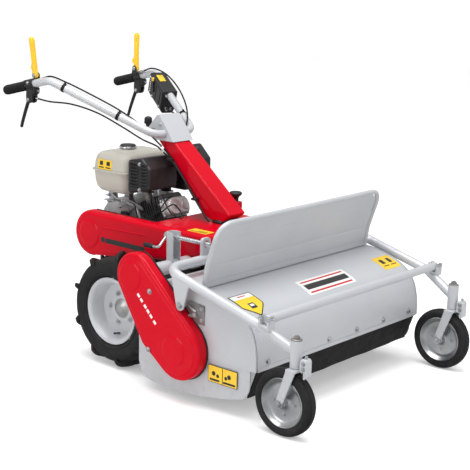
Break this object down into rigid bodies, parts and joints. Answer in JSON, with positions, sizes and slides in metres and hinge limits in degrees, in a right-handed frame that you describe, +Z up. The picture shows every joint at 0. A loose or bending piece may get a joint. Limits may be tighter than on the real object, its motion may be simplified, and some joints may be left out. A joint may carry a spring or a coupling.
{
  "type": "brush mower",
  "caption": "Walk-behind flail brush mower: engine unit on lugged drive wheels, steerable handlebars and a guarded flail deck carried on a caster frame.",
  "frame": {"origin": "on the ground at the middle of the mower's footprint", "axes": "+Y points to the rear (handlebars), -Y forward (deck and casters), +X to the machine's left, +Z up"},
  "size_m": [1.172, 1.9036, 1.3062],
  "materials": {
    "red_paint": "gloss red paint",
    "silver_paint": "light silver-grey paint",
    "tyre": "matte black tyre rubber",
    "rubber": "matte black rubber",
    "cream_tank": "cream enamel",
    "yellow_plastic": "yellow moulded plastic",
    "alloy": "cast aluminium",
    "zinc": "zinc-plated steel",
    "black_steel": "satin black paint",
    "black_plastic": "black moulded plastic"
  },
  "bodies": {
    "chassis": {"transmission_case": "black_steel", "body_cover": "red_paint", "engine_crankcase": "alloy", "cylinder": "alloy", "rocker_cover": "alloy", "fuel_tank": "cream_tank", "muffler": "black_steel", "muffler_guard": "black_steel", "air_cleaner": "black_plastic", "recoil_starter": "black_steel", "jackshaft_housing": "silver_paint", "deck_hood": "silver_paint", "deck_side_right": "silver_paint", "deck_side_left": "silver_paint", "guard_panel": "silver_paint", "guard_rim": "silver_paint", "belt_case_back": "black_steel", "belt_cover": "red_paint", "flail_belt": "rubber"},
    "fuel_cap": {"fuel_cap": "black_plastic"},
    "crankshaft": {"crankshaft_pulley": "zinc"},
    "jackshaft": {"jackshaft": "zinc"},
    "rotor": {"flail_rotor": "black_steel"},
    "flap": {"front_flap": "rubber"},
    "caster_frame": {"frame_tube": "silver_paint", "stem_right": "silver_paint", "stem_left": "silver_paint", "bumper_tube": "silver_paint"},
    "crank": {"crank_screw": "zinc", "crank_grip": "black_plastic"},
    "column": {"handle_column": "red_paint", "clamp_head": "silver_paint"},
    "column_knob": {"column_knob": "black_plastic"},
    "height_knob": {"height_knob": "black_plastic"},
    "gear_lever": {"gear_lever": "black_plastic"},
    "handlebar": {"handlebar_tube": "silver_paint", "grip_right": "rubber", "grip_left": "rubber", "perch_right": "black_plastic", "perch_left": "black_plastic", "control_box": "black_plastic", "clutch_cable_right": "black_plastic", "clutch_cable_left": "black_plastic", "brake_cable_right": "black_plastic", "throttle_cable": "black_plastic"},
    "throttle_lever": {"throttle_lever": "zinc"},
    "drive_wheel_right": {"drive_tyre_right": "tyre", "drive_rim_right": "silver_paint"},
    "caster_fork_right": {"caster_fork_right": "silver_paint"},
    "caster_wheel_right": {"caster_tyre_right": "tyre", "caster_rim_right": "zinc"},
    "drop_lever_right": {"drop_lever_right": "yellow_plastic"},
    "brake_lever_right": {"brake_lever_right": "black_plastic"},
    "drive_wheel_left": {"drive_tyre_left": "tyre", "drive_rim_left": "silver_paint"},
    "caster_fork_left": {"caster_fork_left": "silver_paint"},
    "caster_wheel_left": {"caster_tyre_left": "tyre", "caster_rim_left": "zinc"},
    "drop_lever_left": {"drop_lever_left": "yellow_plastic"},
    "brake_lever_left": {"brake_lever_left": "black_plastic"}
  },
  "joints": [
    {"name": "drive_wheel_right_spin", "type": "hinge", "parent": "chassis", "child": "drive_wheel_right", "pos_m": [-0.4, 0.14716, 0.24], "axis": [1, 0, 0], "continuous": true},
    {"name": "drive_wheel_left_spin", "type": "hinge", "parent": "chassis", "child": "drive_wheel_left", "pos_m": [0.4, 0.14716, 0.24], "axis": [1, 0, 0], "continuous": true},
    {"name": "crankshaft_spin", "type": "hinge", "parent": "chassis", "child": "crankshaft", "pos_m": [-0.2, 0.44716, 0.506], "axis": [1, 0, 0], "continuous": true},
    {"name": "rotor_spin", "type": "hinge", "parent": "chassis", "child": "rotor", "pos_m": [0, -0.33984, 0.217], "axis": [1, 0, 0], "continuous": true},
    {"name": "jackshaft_spin", "type": "hinge", "parent": "chassis", "child": "jackshaft", "pos_m": [-0.3, -0.09284, 0.456], "axis": [1, 0, 0], "continuous": true},
    {"name": "flap_swing", "type": "hinge", "parent": "chassis", "child": "flap", "pos_m": [0, -0.68484, 0.197], "axis": [1, 0, 0], "range_deg": [0, 30]},
    {"name": "crank_turn", "type": "hinge", "parent": "chassis", "child": "crank", "pos_m": [-0.345, -0.07884, 0.577], "axis": [0, 1, 0], "range_deg": [-728, 1164]},
    {"name": "height_adjust", "type": "hinge", "parent": "chassis", "child": "caster_frame", "pos_m": [0, -0.35284, 0.392], "axis": [1, 0, 0], "range_deg": [-2.5, 4]},
    {"name": "caster_swivel_right", "type": "hinge", "parent": "caster_frame", "child": "caster_fork_right", "pos_m": [-0.525, -0.86684, 0.31], "axis": [0, 0, 1], "continuous": true},
    {"name": "caster_wheel_right_spin", "type": "hinge", "parent": "caster_fork_right", "child": "caster_wheel_right", "pos_m": [-0.525, -0.82584, 0.126], "axis": [1, 0, 0], "continuous": true},
    {"name": "caster_swivel_left", "type": "hinge", "parent": "caster_frame", "child": "caster_fork_left", "pos_m": [0.525, -0.86684, 0.31], "axis": [0, 0, 1], "continuous": true},
    {"name": "caster_wheel_left_spin", "type": "hinge", "parent": "caster_fork_left", "child": "caster_wheel_left", "pos_m": [0.525, -0.82584, 0.126], "axis": [1, 0, 0], "continuous": true},
    {"name": "column_swivel", "type": "hinge", "parent": "chassis", "child": "column", "pos_m": [0, -0.06784, 0.58], "axis": [0, 0, 1], "range_deg": [-12, 12]},
    {"name": "column_knob_pull", "type": "slide", "parent": "column", "child": "column_knob", "axis": [0, 0, 1], "range_m": [0, 0.01], "stiffness_N_per_m": 400},
    {"name": "handlebar_height", "type": "hinge", "parent": "column", "child": "handlebar", "pos_m": [0, 0.23816, 0.924], "axis": [1, 0, 0], "range_deg": [-12, 12]},
    {"name": "height_knob_turn", "type": "hinge", "parent": "column", "child": "height_knob", "pos_m": [-0.051, 0.34216, 0.95], "axis": [0, 0, 1], "range_deg": [0, 180]},
    {"name": "gear_lever_push", "type": "hinge", "parent": "column", "child": "gear_lever", "pos_m": [0.057, 0.10916, 0.77], "axis": [1, 0, 0], "range_deg": [-12, 12]},
    {"name": "drop_lever_right_press", "type": "hinge", "parent": "handlebar", "child": "drop_lever_right", "pos_m": [-0.30655, 0.77991, 1.14125], "axis": [-1, 0, 0], "range_deg": [0, 70], "stiffness_Nm_per_rad": 1.5},
    {"name": "brake_lever_right_squeeze", "type": "hinge", "parent": "handlebar", "child": "brake_lever_right", "pos_m": [-0.32655, 0.78791, 1.03725], "axis": [1, 0, 0], "range_deg": [0, 38], "stiffness_Nm_per_rad": 1},
    {"name": "drop_lever_left_press", "type": "hinge", "parent": "handlebar", "child": "drop_lever_left", "pos_m": [0.30655, 0.77991, 1.14125], "axis": [-1, 0, 0], "range_deg": [0, 70], "stiffness_Nm_per_rad": 1.5},
    {"name": "brake_lever_left_squeeze", "type": "hinge", "parent": "handlebar", "child": "brake_lever_left", "pos_m": [0.32655, 0.78791, 1.03725], "axis": [1, 0, 0], "range_deg": [0, 38], "stiffness_Nm_per_rad": 1},
    {"name": "throttle_turn", "type": "hinge", "parent": "handlebar", "child": "throttle_lever", "pos_m": [0.24361, 0.60846, 1.05823], "axis": [0.9051, -0.4253, 0], "range_deg": [0, 30]},
    {"name": "fuel_cap_turn", "type": "hinge", "parent": "chassis", "child": "fuel_cap", "pos_m": [-0.025, 0.49216, 0.838], "axis": [0, 0, 1], "range_deg": [0, 90]}
  ],
  "couplings": [
    {"joint": "jackshaft_spin", "follows": "rotor_spin", "ratio": 1},
    {"joint": "crank_turn", "follows": "height_adjust", "ratio": 290}
  ]
}
